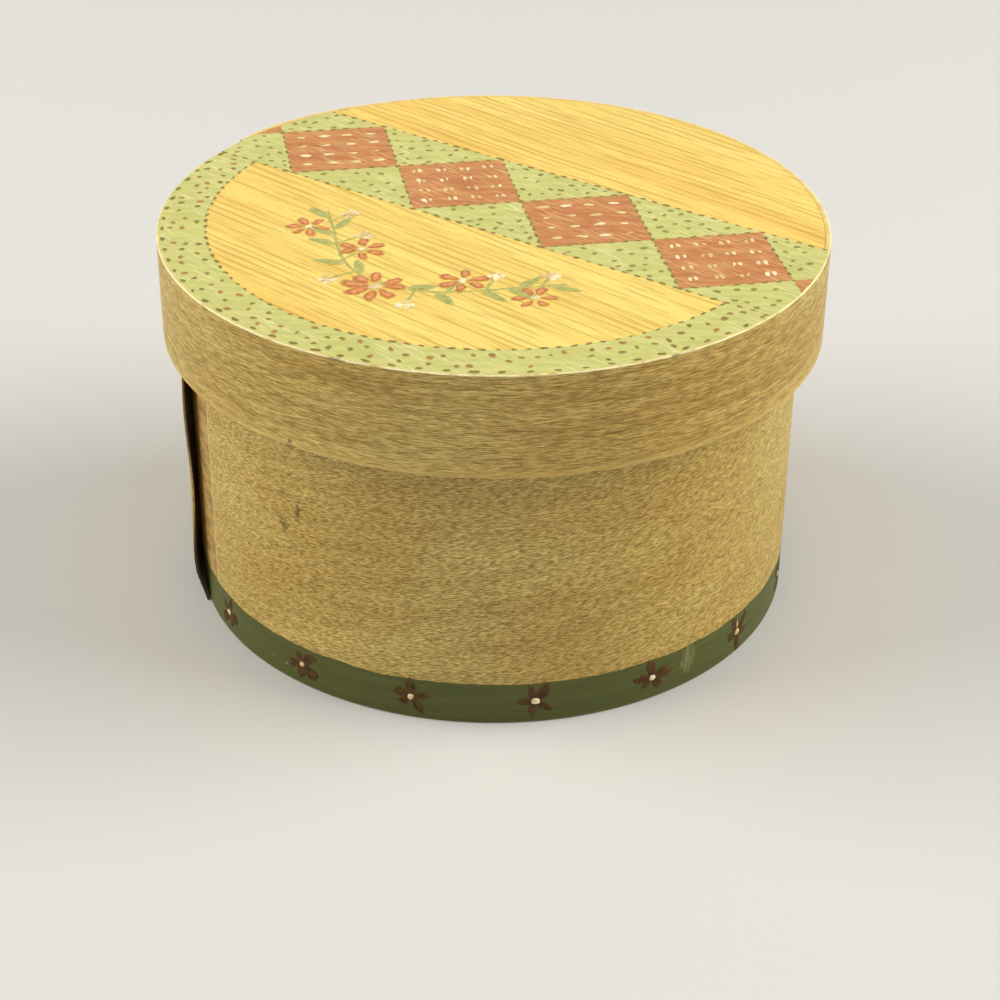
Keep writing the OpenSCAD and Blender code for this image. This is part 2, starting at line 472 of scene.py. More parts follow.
# Stained veneer that follows a strip's run; the side band also shows where its lap lay, and the painted foot
def veneer(name, s, painted):
    material, tree, shader = newMaterial(name)
    place = put(tree, "ShaderNodeUVMap", uv_map="strip").outputs[0]
    place = put(tree, "ShaderNodeMapping", {"Vector": place, "Scale": (uvUnit, uvUnit, 1)}).outputs[0]
    run = parts(tree, place)
    ripple = times(tree, blotch(tree, place, (7, 5, 1), 1.0), s["ripple"])
    lift = vector(tree, {"Y": calc(tree, "SUBTRACT", ripple, times(tree, run[0], s["slope"]))})
    grain = put(tree, "ShaderNodeVectorMath", {0: place, 1: lift}, operation="ADD").outputs[0]
    fleck = blotch(tree, grain, (s["length"], s["height"], 1), 2.6, 0.55)
    colour = stain(tree, place, grain, fleck, s)
    height = fleck
    if painted:
        colour = oldLap(tree, run, s, place, colour)
        colour, height = paintedFoot(tree, run, s, place, colour, height)
    outer = attribute(tree, "outerFace")
    inside = tint(tree, rise(tree, fleck, 0.3, 0.7), s["insideDark"], s["inside"])
    colour = tint(tree, outer, inside, colour)
    chafe = blotch(tree, place, (3.0, 1.2, 1), 4.0, 0.65, 1.7)
    # Crown tint: the stain on the top edge, and a painted highlight along the lid's lower edge
    colour = tint(tree, attribute(tree, "crownAndHighlight"), colour, tint(tree, chafe, s["crownAndHighlightDark"], s["crownAndHighlight"]))
    # Each strip's end face darkened: painted shade with some dirt
    colour = tint(tree, attribute(tree, "endDirtAndShade"), colour, veneerSet["lapEnd"])
    bare = times(tree, rise(tree, attribute(tree, "wear"), 0.1, 1.0), rise(tree, chafe, 0.2, 0.55))
    colour = tint(tree, bare, colour, s["worn"])
    smudge = blotch(tree, place, (0.8, 0.5, 1), 2.0, 0.6, 5.5)
    for mark in s["darkMarks"]:
        spot = times(tree, spotAt(tree, run, s, mark, smudge), outer)
        colour = tint(tree, times(tree, spot, 0.85), colour, veneerSet["mark"])
    roughness = calc(tree, "ADD", 0.4, times(tree, fleck, 0.22))
    gloss(tree, shader, colour, roughness, bump(tree, height, 0.05, 0.8))
    return material


# Ragged spot on a strip: its angle, height, width, tallness and raggedness
def spotAt(tree, run, s, spot, smudge):
    angle, z, wide, tall, ragged = spot
    at = s["rise"] + math.radians(angle - s["angle"]) * s["radius"]
    across = calc(tree, "DIVIDE", calc(tree, "SUBTRACT", run[0], at), wide)
    down = calc(tree, "DIVIDE", calc(tree, "SUBTRACT", run[1], z), tall)
    far = calc(tree, "ADD", calc(tree, "POWER", across, 2.0), calc(tree, "POWER", down, 2.0))
    far = calc(tree, "ADD", far, times(tree, smudge, ragged))
    return flip(tree, rise(tree, far, 0.5 * ragged - 0.3, 0.5 * ragged + 0.7))


# Strip that the sprung lap used to cover, and its pale border
oldGlue = {
    "upTo": 205.2, "bare": tone(194, 160, 94), "dark": tone(146, 116, 61), "border": tone(226, 198, 130),
}


def oldLap(tree, run, s, place, colour):
    reach = math.radians(oldGlue["upTo"] - s["angle"]) * s["radius"] + s["rise"]
    ragged = blotch(tree, place, (6, 2.2, 1), 3.0, 0.6, 7.3)
    line = calc(tree, "ADD", run[0], times(tree, ragged, 1.4))
    covered = flip(tree, rise(tree, line, reach + 0.5, reach + 0.8))
    border = flip(tree, rise(tree, line, reach + 0.9, reach + 1.6))
    colour = tint(tree, times(tree, border, 0.6), colour, oldGlue["border"])
    glue = rise(tree, blotch(tree, place, (5, 1.7, 1), 3.0, 0.65, 6.1), 0.36, 0.64)
    return tint(tree, covered, colour, tint(tree, glue, oldGlue["dark"], oldGlue["bare"]))


# Green paint round the foot, with specks and a scuff
footPaint = {
    "high": 8.7, "wander": 0.9, "softFrom": 0.38, "softTo": 0.55,
    "green": tone(79, 85, 38), "pale": tone(89, 94, 43),
    "speck": tone(190, 180, 130), "rubbed": tone(150, 152, 96), "scuff": (309.0, 5.6, 2.4, 5.0, 2.6),
}


def paintedFoot(tree, run, s, place, colour, height):
    brush = blotch(tree, place, (22, 0.9, 1), 2.0, 0.6, 4.4)
    green = tint(tree, rise(tree, brush, 0.3, 0.7), footPaint["green"], footPaint["pale"])
    speck = rise(tree, blotch(tree, place, (2.6, 0.9, 1), 4.0, 0.65, 2.2), 0.7, 0.74)
    green = tint(tree, times(tree, speck, 0.55), green, footPaint["speck"])
    smear = blotch(tree, place, (0.7, 2.6, 1), 3.0, 0.65, 3.7)
    spot = spotAt(tree, run, s, footPaint["scuff"], smear)
    green = tint(tree, times(tree, spot, 0.6), green, footPaint["rubbed"])
    wander = times(tree, blotch(tree, place, (6, 40, 1), 2.0, 0.5, 9.1), footPaint["wander"])
    edge = calc(tree, "ADD", run[1], wander)
    high = footPaint["high"]
    paint = flip(tree, rise(tree, edge, high + footPaint["softFrom"], high + footPaint["softTo"]))
    woodHeight = times(tree, height, flip(tree, paint))
    height = calc(tree, "ADD", woodHeight, times(tree, paint, 1.1))
    return tint(tree, paint, colour, green), height


sideBand = newObject("sideBand", makeStrip("sideBand", sideStrip), "box")
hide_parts("side_band")
sideBand.data.materials.append(veneer("sideVeneer", sideStrip, True))
lidBand = newObject("lidBand", makeStrip("lidBand", lidStrip), "lid")
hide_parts("lid_band")
lidBand.data.materials.append(veneer("lidVeneer", lidStrip, False))
print("bent strips made")


# Boards, tacks and brads keep their own shapes
boardSet = {"grain": 42.0, "lines": 1.8, "lineLong": 20.0, "pore": 9.0, "poreWide": 0.36, "varnish": 0.6}
varnished = {
    "gold": tone(245, 213, 109), "pale": tone(253, 231, 129), "pore": tone(190, 146, 68), "rough": 0.42,
}
bareWood = {
    "gold": tone(206, 172, 116), "pale": tone(222, 192, 140), "pore": tone(164, 126, 76), "rough": 0.6,
}
amberTone = tone(255, 244, 234)


# Wood that is varnished above a height in millimetres and bare below it
def boardWood(name, b, varnishFrom):
    material, tree, shader = newMaterial(name)
    place = objectPlace(tree, b["grain"])
    high = parts(tree, place)[2]
    coated = rise(tree, high, varnishFrom - 0.3, varnishFrom + 0.3)
    keys = ("gold", "pale", "pore")
    gold, pale, pore = [tint(tree, coated, bareWood[key], varnished[key]) for key in keys]
    sway = blotch(tree, place, (70, 16, 30), 1.0)
    lift = vector(tree, {"Y": times(tree, sway, 2.4)})
    place = put(tree, "ShaderNodeVectorMath", {0: place, 1: lift}, operation="ADD").outputs[0]
    ringBand = blotch(tree, place, (120, 4.2, 60), 2.0, 0.5, 5.0)
    fine = blotch(tree, place, (30, 0.7, 40), 2.0, 0.6, 8.0)
    colour = tint(tree, rise(tree, ringBand, 0.34, 0.66), gold, pale)
    colour = tint(tree, times(tree, rise(tree, fine, 0.35, 0.7), 0.4), colour, gold)
    # Year lines at a steady pitch, broken along their run
    phase = times(tree, blotch(tree, place, (45, 3.2, 30), 1.0, 0.5, 2.0), 7.0)
    across = parts(tree, place)[1]
    turns = times(tree, across, math.tau / b["lines"])
    wave = calc(tree, "SINE", calc(tree, "ADD", turns, phase))
    gap = blotch(tree, place, (b["lineLong"], 1.0, 20), 1.0, 0.4, 3.0)
    line = times(tree, rise(tree, wave, 0.25, 0.96), rise(tree, gap, 0.4, 0.58))
    dash = blotch(tree, place, (b["pore"], b["poreWide"], 20), 1.0, 0.4)
    pores = calc(tree, "MAXIMUM", line, times(tree, rise(tree, dash, 0.56, 0.68), 0.7))
    colour = tint(tree, times(tree, pores, 0.55), colour, pore)
    amber = rise(tree, blotch(tree, place, (80, 36, 80), 1.0, 0.5, 4.0), 0.35, 0.65)
    colour = tint(tree, amber, colour, amberTone, "MULTIPLY")
    height = calc(tree, "SUBTRACT", times(tree, fine, 0.25), pores)
    sheen = calc(tree, "MULTIPLY_ADD", coated, varnished["rough"] - bareWood["rough"])
    feed(tree, sheen.node.inputs[2], bareWood["rough"])
    gloss(tree, shader, colour, calc(tree, "ADD", sheen, times(tree, pores, 0.2)),
          bump(tree, height, 0.06, 0.7))
    return material


ironSet = {"iron": tone(96, 92, 88), "rust": tone(104, 70, 48)}


def dullIron(name):
    material, tree, shader = newMaterial(name, 0.5, 0.85)
    rust = blotch(tree, objectPlace(tree), (0.5, 0.5, 0.5), 4.0, 0.6)
    colour = tint(tree, rise(tree, rust, 0.45, 0.7), ironSet["iron"], ironSet["rust"])
    roughness = calc(tree, "ADD", 0.38, times(tree, rust, 0.3))
    gloss(tree, shader, colour, roughness, bump(tree, rust, 0.03))
    return material


def finishNode(node, material):
    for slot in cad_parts[node].material_slots:
        slot.material = material


finishNode("lid_board", boardWood("goldenBoard", boardSet, topZ - boardSet["varnish"]))
finishNode("base_board", boardWood("bareBoard", boardSet, topZ))
iron = dullIron("dullIron")
for node in ("side_lap_tacks", "lid_lap_tacks", "base_brads", "lid_brads"):
    finishNode(node, iron)
print("boards and fasteners finished")


# Geometry Nodes that lay down brush marks
def newTree(name, inputs):
    tree = bpy.data.node_groups.new(name, "GeometryNodeTree")
    tree.interface.new_socket("Geometry", in_out="INPUT", socket_type="NodeSocketGeometry")
    for label, kind in inputs:
        tree.interface.new_socket(label, in_out="INPUT", socket_type="NodeSocket" + kind)
    tree.interface.new_socket("Geometry", in_out="OUTPUT", socket_type="NodeSocketGeometry")
    return tree, put(tree, "NodeGroupInput").outputs


def closeTree(tree, geometry, paint):
    done = put(tree, "GeometryNodeSetMaterial", {"Geometry": geometry, "Material": paint}).outputs[0]
    put(tree, "NodeGroupOutput", {"Geometry": done})


def position(tree):
    return put(tree, "GeometryNodeInputPosition").outputs[0]


def readFloat(tree, name):
    return put(tree, "GeometryNodeInputNamedAttribute", {"Name": name}, data_type="FLOAT").outputs[0]


def chance(tree, low, high, seed):
    ins = {2: low, 3: high, "Seed": seed}
    return put(tree, "FunctionNodeRandomValue", ins, data_type="FLOAT").outputs[1]


# One flattened blob of paint, wider at its +X end where it tapers, with its height kept as "thick"
def brushMark(tree, given):
    ball = put(tree, "GeometryNodeMeshUVSphere", {"Segments": 10, "Rings": 5, "Radius": 1.0}).outputs[0]
    at = parts(tree, position(tree))
    kept = {"Geometry": ball, "Name": "thick", "Value": at[2]}
    ball = put(tree, "GeometryNodeStoreNamedAttribute", kept, data_type="FLOAT", domain="POINT").outputs[0]
    lean = times(tree, times(tree, at[0], at[1]), given["Taper"])
    shift = vector(tree, {"Y": lean})
    ball = put(tree, "GeometryNodeSetPosition", {"Geometry": ball, "Offset": shift}).outputs[0]
    ball = put(tree, "GeometryNodeSetShadeSmooth", {"Geometry": ball}).outputs[0]
    halfLong = times(tree, given["Length"], 0.5)
    halfWide = times(tree, given["Width"], 0.5)
    size = vector(tree, {"X": halfLong, "Y": halfWide, "Z": given["Height"]})
    return put(tree, "GeometryNodeTransform", {"Geometry": ball, "Scale": size}).outputs[0]


# How far a mark's outline wanders, as a share of its width, how many waves that has in a millimetre, and
# up to what share of its height a mark is thin
hand = {"wobble": 0.8, "waves": 0.9, "thinEdge": 0.8}
markInputs = [("Length", "Float"), ("Width", "Float"), ("Height", "Float"), ("Taper", "Float"),
              ("Wobble", "Float"), ("Paint", "Material")]


# A mark at each point, its outline pushed about a little within its plane
def placeMarks(tree, given, points, rotation, scale):
    ins = {"Points": points, "Instance": brushMark(tree, given), "Rotation": rotation, "Scale": scale}
    placed = put(tree, "GeometryNodeInstanceOnPoints", ins).outputs[0]
    marks = put(tree, "GeometryNodeRealizeInstances", {"Geometry": placed}).outputs[0]
    at = position(tree)
    noise = {"Vector": at, "Scale": hand["waves"] / mm, "Detail": 1.0}
    drift = put(tree, "ShaderNodeTexNoise", noise).outputs["Color"]
    away = put(tree, "ShaderNodeVectorMath", {0: drift, 1: (0.5, 0.5, 0.5)}, operation="SUBTRACT").outputs[0]
    reach = vector(tree, {"X": given["Wobble"], "Y": given["Wobble"]})
    shift = put(tree, "ShaderNodeVectorMath", {0: away, 1: reach}, operation="MULTIPLY").outputs[0]
    return put(tree, "GeometryNodeSetPosition", {"Geometry": marks, "Offset": shift}).outputs[0]


# Marks at points that carry their own turn and stretch; rolled round the box where it is wrapped
def makeMarkTree(name, wrapped):
    tree, given = newTree(name, markInputs + ([("Wrap Radius", "Float")] if wrapped else []))
    turn = vector(tree, {"Z": readFloat(tree, "turn")})
    stretch = readFloat(tree, "stretch")
    size = vector(tree, {"X": stretch, "Y": times(tree, stretch, readFloat(tree, "widen")), "Z": 1.0})
    marks = placeMarks(tree, given, given["Geometry"], turn, size)
    if wrapped:
        at = parts(tree, position(tree))
        angle = calc(tree, "DIVIDE", at[0], given["Wrap Radius"])
        radius = calc(tree, "ADD", at[2], given["Wrap Radius"])
        x = times(tree, radius, calc(tree, "COSINE", angle))
        y = times(tree, radius, calc(tree, "SINE", angle))
        rolled = vector(tree, {"X": x, "Y": y, "Z": at[1]})
        marks = put(tree, "GeometryNodeSetPosition", {"Geometry": marks, "Position": rolled}).outputs[0]
    closeTree(tree, marks, given["Paint"])
    return tree


# Random turn about Z, either way
def swing(tree, given):
    less = times(tree, given["Unsteady"], -1.0)
    return vector(tree, {"Z": chance(tree, less, given["Unsteady"], given["Seed"])})


# Marks along lines: running stitches where they stand apart, a painted stem where they run together
def makeStitchTree(name):
    tree, given = newTree(name, markInputs + [("Spacing", "Float"), ("Unsteady", "Float"), ("Seed", "Int")])
    curve = put(tree, "GeometryNodeMeshToCurve", {"Mesh": given["Geometry"]}).outputs[0]
    ins = {"Curve": curve, "Length": given["Spacing"]}
    curve = put(tree, "GeometryNodeResampleCurve", ins, mode="LENGTH")
    tangent = put(tree, "GeometryNodeInputTangent").outputs[0]
    turn = put(tree, "FunctionNodeAlignRotationToVector", {"Vector": tangent}, axis="X").outputs[0]
    ins = {"Rotation": turn, "Rotate By": swing(tree, given)}
    turn = put(tree, "FunctionNodeRotateRotation", ins).outputs[0]
    stretch = chance(tree, 0.68, 1.18, calc(tree, "ADD", given["Seed"], 5))
    closeTree(tree, placeMarks(tree, given, curve.outputs[0], turn, stretch), given["Paint"])
    return tree


# Marks scattered over faces, each about level with X
def makeDotTree(name):
    inputs = [("Spacing", "Float"), ("Density", "Float"), ("Unsteady", "Float"), ("Seed", "Int")]
    tree, given = newTree(name, markInputs + inputs)
    ins = {"Mesh": given["Geometry"], "Distance Min": given["Spacing"], "Density Max": given["Density"],
           "Seed": given["Seed"]}
    points = put(tree, "GeometryNodeDistributePointsOnFaces", ins, distribute_method="POISSON").outputs[0]
    stretch = chance(tree, 0.75, 1.2, calc(tree, "ADD", given["Seed"], 3))
    closeTree(tree, placeMarks(tree, given, points, swing(tree, given), stretch), given["Paint"])
    return tree


markTree = makeMarkTree("brushMarks", False)
rollTree = makeMarkTree("rolledBrushMarks", True)
stitchTree = makeStitchTree("runningStitches")
dotTree = makeDotTree("calicoDots")


def runTree(name, mesh, tree, values, body):
    source = newObject(name + "Source", mesh, None)
    modifier = source.modifiers.new("nodes", "NODES")
    modifier.node_group = tree
    for item in tree.interface.items_tree:
        if item.in_out == "INPUT" and item.name in values:
            modifier[item.identifier] = values[item.name]
    graph = bpy.context.evaluated_depsgraph_get()
    made = bpy.data.meshes.new_from_object(source.evaluated_get(graph), depsgraph=graph)
    bpy.data.objects.remove(source)
    made.name = name
    return newObject(name, made, body)


# A look's values as a tree's inputs
def markSizes(look, paint):
    values = {key.capitalize(): value for key, value in look.items()}
    for key in ("Length", "Width", "Height", "Spacing"):
        values[key] = look.get(key.lower(), 1.0) * mm
    values.update({"Wobble": hand["wobble"] * values["Width"], "Paint": paintTones[paint]})
    return values


# Points for marks: place in millimetres, turn in degrees, stretch, and how much wider than usual
def pointMesh(name, marks):
    mesh = bpy.data.meshes.new(name)
    mesh.from_pydata([Vector(mark[0]) * mm for mark in marks], [], [])
    pointFloats(mesh, "turn", [math.radians(mark[1]) for mark in marks])
    pointFloats(mesh, "stretch", [mark[2] for mark in marks])
    pointFloats(mesh, "widen", [mark[3] if len(mark) > 3 else 1.0 for mark in marks])
    return mesh


def lineMesh(name, lines, z):
    verts, edges = [], []
    for line in lines:
        edges += [(len(verts) + k, len(verts) + k + 1) for k in range(len(line) - 1)]
        verts += [(p.x * mm, p.y * mm, z * mm) for p in line]
    mesh = bpy.data.meshes.new(name)
    mesh.from_pydata(verts, edges, [])
    return mesh


# Thin coats of paint with flat tops
def coatMesh(name, outlines, low, high):
    verts, faces = [], []
    for outline in outlines:
        count = len(outline)
        base = len(verts)
        verts += [(p.x * mm, p.y * mm, z * mm) for z in (low, high) for p in outline]
        faces.append(tuple(base + count + k for k in range(count)))
        faces.append(tuple(base + k for k in reversed(range(count))))
        for k in range(count):
            after = (k + 1) % count
            faces.append((base + k, base + after, base + count + after, base + count + k))
    mesh = bpy.data.meshes.new(name)
    mesh.from_pydata(verts, [], faces)
    return mesh


def flatMesh(name, outlines, z):
    verts, faces = [], []
    for outline in outlines:
        faces.append(tuple(len(verts) + k for k in range(len(outline))))
        verts += [(p.x * mm, p.y * mm, z * mm) for p in outline]
    mesh = bpy.data.meshes.new(name)
    mesh.from_pydata(verts, [], faces)
    return mesh


# Outline drawn in short strokes by an unsteady hand
def handDrawn(outline, stroke=1.4, unsteady=0.1):
    drawn = []
    for start, end in zip(outline, outline[1:] + outline[:1]):
        step = end - start
        count = max(1, round(step.length / stroke))
        for k in range(count):
            point = start + step * (k / count)
            shift = math.sin(point.x * 2.1 + point.y * 0.7) + math.sin(point.y * 1.7 - point.x * 1.1)
            drawn.append(point + Vector((-step.y, step.x)).normalized() * shift * unsteady * 0.5)
    return drawn


# Outline moved in from its edges
def inset(outline, margin):
    moved = []
    count = len(outline)
    for k in range(count):
        before = (outline[k] - outline[k - 1]).normalized()
        after = (outline[(k + 1) % count] - outline[k]).normalized()
        inward = Vector((-before.y, before.x)) + Vector((-after.y, after.x))
        reach = inward.length_squared / 2
        moved.append(outline[k] + inward * (margin / max(reach, 0.25)))
    return moved


# Convex outline cut off at a circle round the axis
def clipRound(outline, radius):
    kept = []
    for start, end in zip(outline, outline[1:] + outline[:1]):
        step = end - start
        a, b, c = step.length_squared, 2 * start.dot(step), start.length_squared - radius ** 2
        root = b * b - 4 * a * c
        inside = c <= 0
        if inside:
            kept.append(start)
        if root > 0:
            for t in ((-b - math.sqrt(root)) / (2 * a), (-b + math.sqrt(root)) / (2 * a)):
                if 0 < t < 1:
                    kept.append(start + step * t)
    arced = []
    for start, end in zip(kept, kept[1:] + kept[:1]):
        arced.append(start)
        if abs(start.length - radius) < 0.01 and abs(end.length - radius) < 0.01:
            first, sweep = math.atan2(start.y, start.x), start.angle_signed(end)
            count = max(1, round(abs(sweep) * radius / 1.4))
            arced += [polar(radius, math.degrees(first - sweep * k / count)) for k in range(1, count)]
    return arced


# Painted lid: a patchwork chain across it, a dotted edging round one side and a sprig in the bare field
quilt = {
    "slope": -35.0, "offset": 9.0, "square": 21.0, "squares": 4, "overRim": 0.82, "edging": 8.8,
    "chip": 0.4, "coat": 0.05, "sunk": 0.02, "greenLower": 0.01,
}
stitchLook = {
    "length": 1.6, "width": 0.75, "height": 0.09, "spacing": 2.6, "unsteady": 0.25, "seed": 2, "fromRim": 0.8,
}
rimStitch = {
    "length": 1.9, "width": 1.0, "height": 0.09, "spacing": 4.6, "unsteady": 0.25, "seed": 9, "fromRim": 0.75,
}
dotLook = {
    "length": 1.4, "width": 0.95, "height": 0.09, "spacing": 2.1, "density": 240000.0,
    "unsteady": 1.2, "seed": 4, "fromEdge": 1.0,
}
rimDot = {
    "length": 1.45, "width": 1.05, "height": 0.09, "spacing": 2.15, "density": 260000.0,
    "unsteady": 1.6, "seed": 11, "fromRim": 2.1, "fromField": 1.4, "fromBand": 1.5,
}
strokeLook = {
    "length": 2.1, "width": 0.95, "height": 0.1, "taper": 0.15, "pair": 1.3, "grid": 4, "pitch": 4.7,
    "shake": 0.2, "swing": 14.0, "shortest": 0.65, "longest": 1.15, "single": 1.35,
}
along = polar(1, quilt["slope"])
across = polar(1, quilt["slope"] + 90)
halfSquare = quilt["square"] / math.sqrt(2)
paintR = boardR + quilt["overRim"]
coatTop = topZ + quilt["coat"]


# Flat paint, thin over the wood: brush streaks, and the grain showing through as light scratches
def flatPaint(name, low, high, scratch, scratchAmount, rough=0.55):
    material, tree, shader = newMaterial(name)
    place = objectPlace(tree, boardSet["grain"])
    brush = blotch(tree, objectPlace(tree), (9, 1.6, 6), 3.0, 0.6, 2.0)
    line = blotch(tree, place, (5.0, 0.3, 20), 1.0, 0.4, 6.0)
    patchy = blotch(tree, place, (14, 9, 14), 2.0, 0.5, 1.0)
    colour = tint(tree, rise(tree, brush, 0.32, 0.68), low, high)
    worn = times(tree, rise(tree, line, 0.55, 0.68), rise(tree, patchy, 0.3, 0.55))
    colour = tint(tree, times(tree, worn, scratchAmount), colour, scratch)
    height = calc(tree, "SUBTRACT", times(tree, brush, 0.5), worn)
    gloss(tree, shader, colour, calc(tree, "ADD", rough, times(tree, worn, 0.15)),
          bump(tree, height, 0.03, 0.6))
    return material


# Thicker dabs of paint, uneven within each dab, whose thin edges take the colour of what lies below
def dabPaint(name, low, high, below=None, size=0.9, rough=0.5):
    material, tree, shader = newMaterial(name)
    dab = blotch(tree, objectPlace(tree), (size, size, size), 2.0, 0.5)
    colour = tint(tree, rise(tree, dab, 0.35, 0.65), low, high)
    if below:
        colour = tint(tree, rise(tree, attribute(tree, "thick"), 0.0, hand["thinEdge"]), below, colour)
    rough = calc(tree, "ADD", rough, times(tree, dab, 0.1))
    gloss(tree, shader, colour, rough, bump(tree, dab, 0.03, 0.6))
    return material


# Colours of what the dabs lie on
onLeaf = tone(204, 204, 123)
onBrick = tone(204, 142, 90)
onWood = tone(248, 220, 120)
onFoot = tone(84, 90, 40)
onPetal = tone(196, 112, 66)
paintTones = {
    "leaf": flatPaint("lidGreenPaint", tone(196, 197, 116), tone(212, 211, 130), tone(240, 233, 172), 0.8),
    "brick": flatPaint("brickPaint", tone(188, 118, 70), tone(208, 147, 91), tone(238, 194, 136), 0.8),
    "cream": dabPaint("creamPaint", tone(224, 192, 132), tone(255, 244, 200), None, 2.6),
    "check": dabPaint("checkPaint", tone(224, 192, 132), tone(255, 244, 200), onBrick, 2.6),
    "stitch": dabPaint("stitchPaint", tone(126, 109, 57), tone(152, 130, 74), onLeaf),
    "greenDot": dabPaint("greenDotPaint", tone(134, 132, 68), tone(156, 150, 84), onLeaf),
    "rustDot": dabPaint("rustDotPaint", tone(132, 122, 62), tone(186, 130, 78), onLeaf, 3.0),
    "stem": dabPaint("stemPaint", tone(166, 170, 96), tone(188, 188, 112), onWood),
    "petal": dabPaint("petalPaint", tone(216, 140, 86), tone(236, 168, 108), onPetal),
    "petalEdge": dabPaint("petalEdgePaint", tone(180, 98, 56), tone(200, 118, 70), onWood),
    "footPetal": dabPaint("footPetalPaint", tone(66, 44, 18), tone(92, 64, 30), onFoot, 1.3, 0.65),
}


def squareCentre(k):
    return across * quilt["offset"] + along * (2 * halfSquare * (k - (quilt["squares"] - 1) / 2))


def squareOutline(centre):
    return [centre - along * halfSquare, centre - across * halfSquare, centre + along * halfSquare,
            centre + across * halfSquare]


def triangleOutline(joint, side):
    first, second = (along + across) * halfSquare, (across - along) * halfSquare
    return [joint, joint + first * side, joint + second * side]


# Angle at which a line across the lid meets a circle, on its lower left side
def lineMeets(radius, distance):
    return math.degrees(math.acos(distance / radius))


def arcPoints(radius, first, last, step=1.4):
    count = max(2, round(abs(math.radians(last - first)) * radius / step))
    return [polar(radius, first + (last - first) * k / count) for k in range(count + 1)]


# How deep the paint is chipped at the rim, at a place given by its run round it
def rimChip(run):
    rough = math.sin(run * 0.33) + math.sin(run * 0.9 + 1) + math.sin(run * 2.3 + 2)
    return quilt["chip"] * max(0.0, rough - 1.0)


def edgingOutline(outer, inner, distance, unsteady=0.0, chipped=False):
    turn = quilt["slope"] + 90
    wide, narrow = lineMeets(outer, distance), lineMeets(inner, distance)
    rim = arcPoints(outer, turn + wide, turn + 360 - wide, 0.6)
    if chipped:
        rim = [p * (1 - rimChip(math.atan2(p.y, p.x) * outer) / outer) for p in rim]
    outline = rim + arcPoints(inner, turn + 360 - narrow, turn + narrow)
    return [p * (1 + unsteady / outer * (math.sin(p.x * 2.3) + math.sin(p.y * 1.9))) for p in outline]


def paintPatchwork():
    centres = [squareCentre(k) for k in range(quilt["squares"])]
    squares = [clipRound(squareOutline(c), paintR) for c in centres]
    tips = [clipRound(squareOutline(squareCentre(k)), paintR) for k in (-1, quilt["squares"])]
    joints = [squareCentre(k) + along * halfSquare for k in range(-1, quilt["squares"])]
    triangles = [clipRound(triangleOutline(joint, side), paintR) for joint in joints for side in (1, -1)]
    bandEdge = quilt["offset"] - halfSquare
    edging = edgingOutline(paintR, paintR - quilt["edging"], bandEdge, 0.04, True)
    low = topZ - quilt["sunk"]
    red = coatMesh("redSquares", [handDrawn(s) for s in squares + tips], low, coatTop)
    red.materials.append(paintTones["brick"])
    newObject("redSquares", red, "lid")
    green = [handDrawn(t) for t in triangles] + [edging]
    green = coatMesh("greenPatches", green, low, coatTop - quilt["greenLower"])
    green.materials.append(paintTones["leaf"])
    newObject("greenPatches", green, "lid")
    return centres, squares, triangles, bandEdge


def paintCalico(triangles, bandEdge):
    fields = flatMesh("fields", [inset(t, dotLook["fromEdge"]) for t in triangles], coatTop)
    runTree("greenDots", fields, dotTree, markSizes(dotLook, "greenDot"), "lid")
    inner = paintR - quilt["edging"] + rimDot["fromField"]
    ring = edgingOutline(paintR - rimDot["fromRim"], inner, bandEdge - rimDot["fromBand"])
    ringField = flatMesh("ringField", [ring], coatTop)
    runTree("rustDots", ringField, dotTree, markSizes(rimDot, "rustDot"), "lid")


def edgingLine(radius, bandEdge):
    turn = quilt["slope"] + 90
    meet = lineMeets(radius, bandEdge)
    return arcPoints(radius, turn + meet + 1, turn + 359 - meet, 2.0)


def paintStitches(squares, bandEdge):
    lines = [s + s[:1] for s in squares]
    for distance in (bandEdge, quilt["offset"] + halfSquare):
        reach = math.sqrt(paintR ** 2 - distance ** 2) - stitchLook["fromRim"]
        lines.append([across * distance - along * reach, across * distance + along * reach])
    lines.append(edgingLine(paintR - quilt["edging"], bandEdge))
    seams = lineMesh("seams", lines, coatTop)
    runTree("stitches", seams, stitchTree, markSizes(stitchLook, "stitch"), "lid")
    rimLine = lineMesh("rimLine", [edgingLine(paintR - rimStitch["fromRim"], bandEdge)], coatTop)
    runTree("rimStitches", rimLine, stitchTree, markSizes(rimStitch, "stitch"), "lid")


# Marks on the lid at points that are set one by one
def paintMarks(name, marks, look, paint):
    runTree(name, pointMesh(name + "Points", marks), markTree, markSizes(look, paint), "lid")


def paintChecks(centres):
    marks = []
    rng = random.Random(3)
    first, second = (along + across).normalized(), (across - along).normalized()
    lean = quilt["slope"] + 45 + 90
    middle = (strokeLook["grid"] - 1) / 2
    shake, swing = strokeLook["shake"], strokeLook["swing"]
    shortest, longest = strokeLook["shortest"], strokeLook["longest"]
    for index, centre in enumerate(centres):
        for i in range(strokeLook["grid"]):
            for j in range(strokeLook["grid"]):
                at = centre + (first * (i - middle) + second * (j - middle)) * strokeLook["pitch"]
                twins = (-0.5, 0.5) if index % 2 else (0.0,)
                for twin in twins:
                    place = at + first * (twin * strokeLook["pair"])
                    place += Vector((rng.uniform(-shake, shake), rng.uniform(-shake, shake)))
                    turn = (lean if index % 2 else lean - 90) + rng.uniform(-swing, swing)
                    stretch = rng.uniform(shortest, longest) * (1.0 if index % 2 else strokeLook["single"])
                    marks.append(((place.x, place.y, coatTop), turn, stretch))
    paintMarks("checkStrokes", marks, strokeLook, "check")


centres, squares, triangles, bandEdge = paintPatchwork()
paintCalico(triangles, bandEdge)
paintStitches(squares, bandEdge)
paintChecks(centres)
print("patchwork painted")


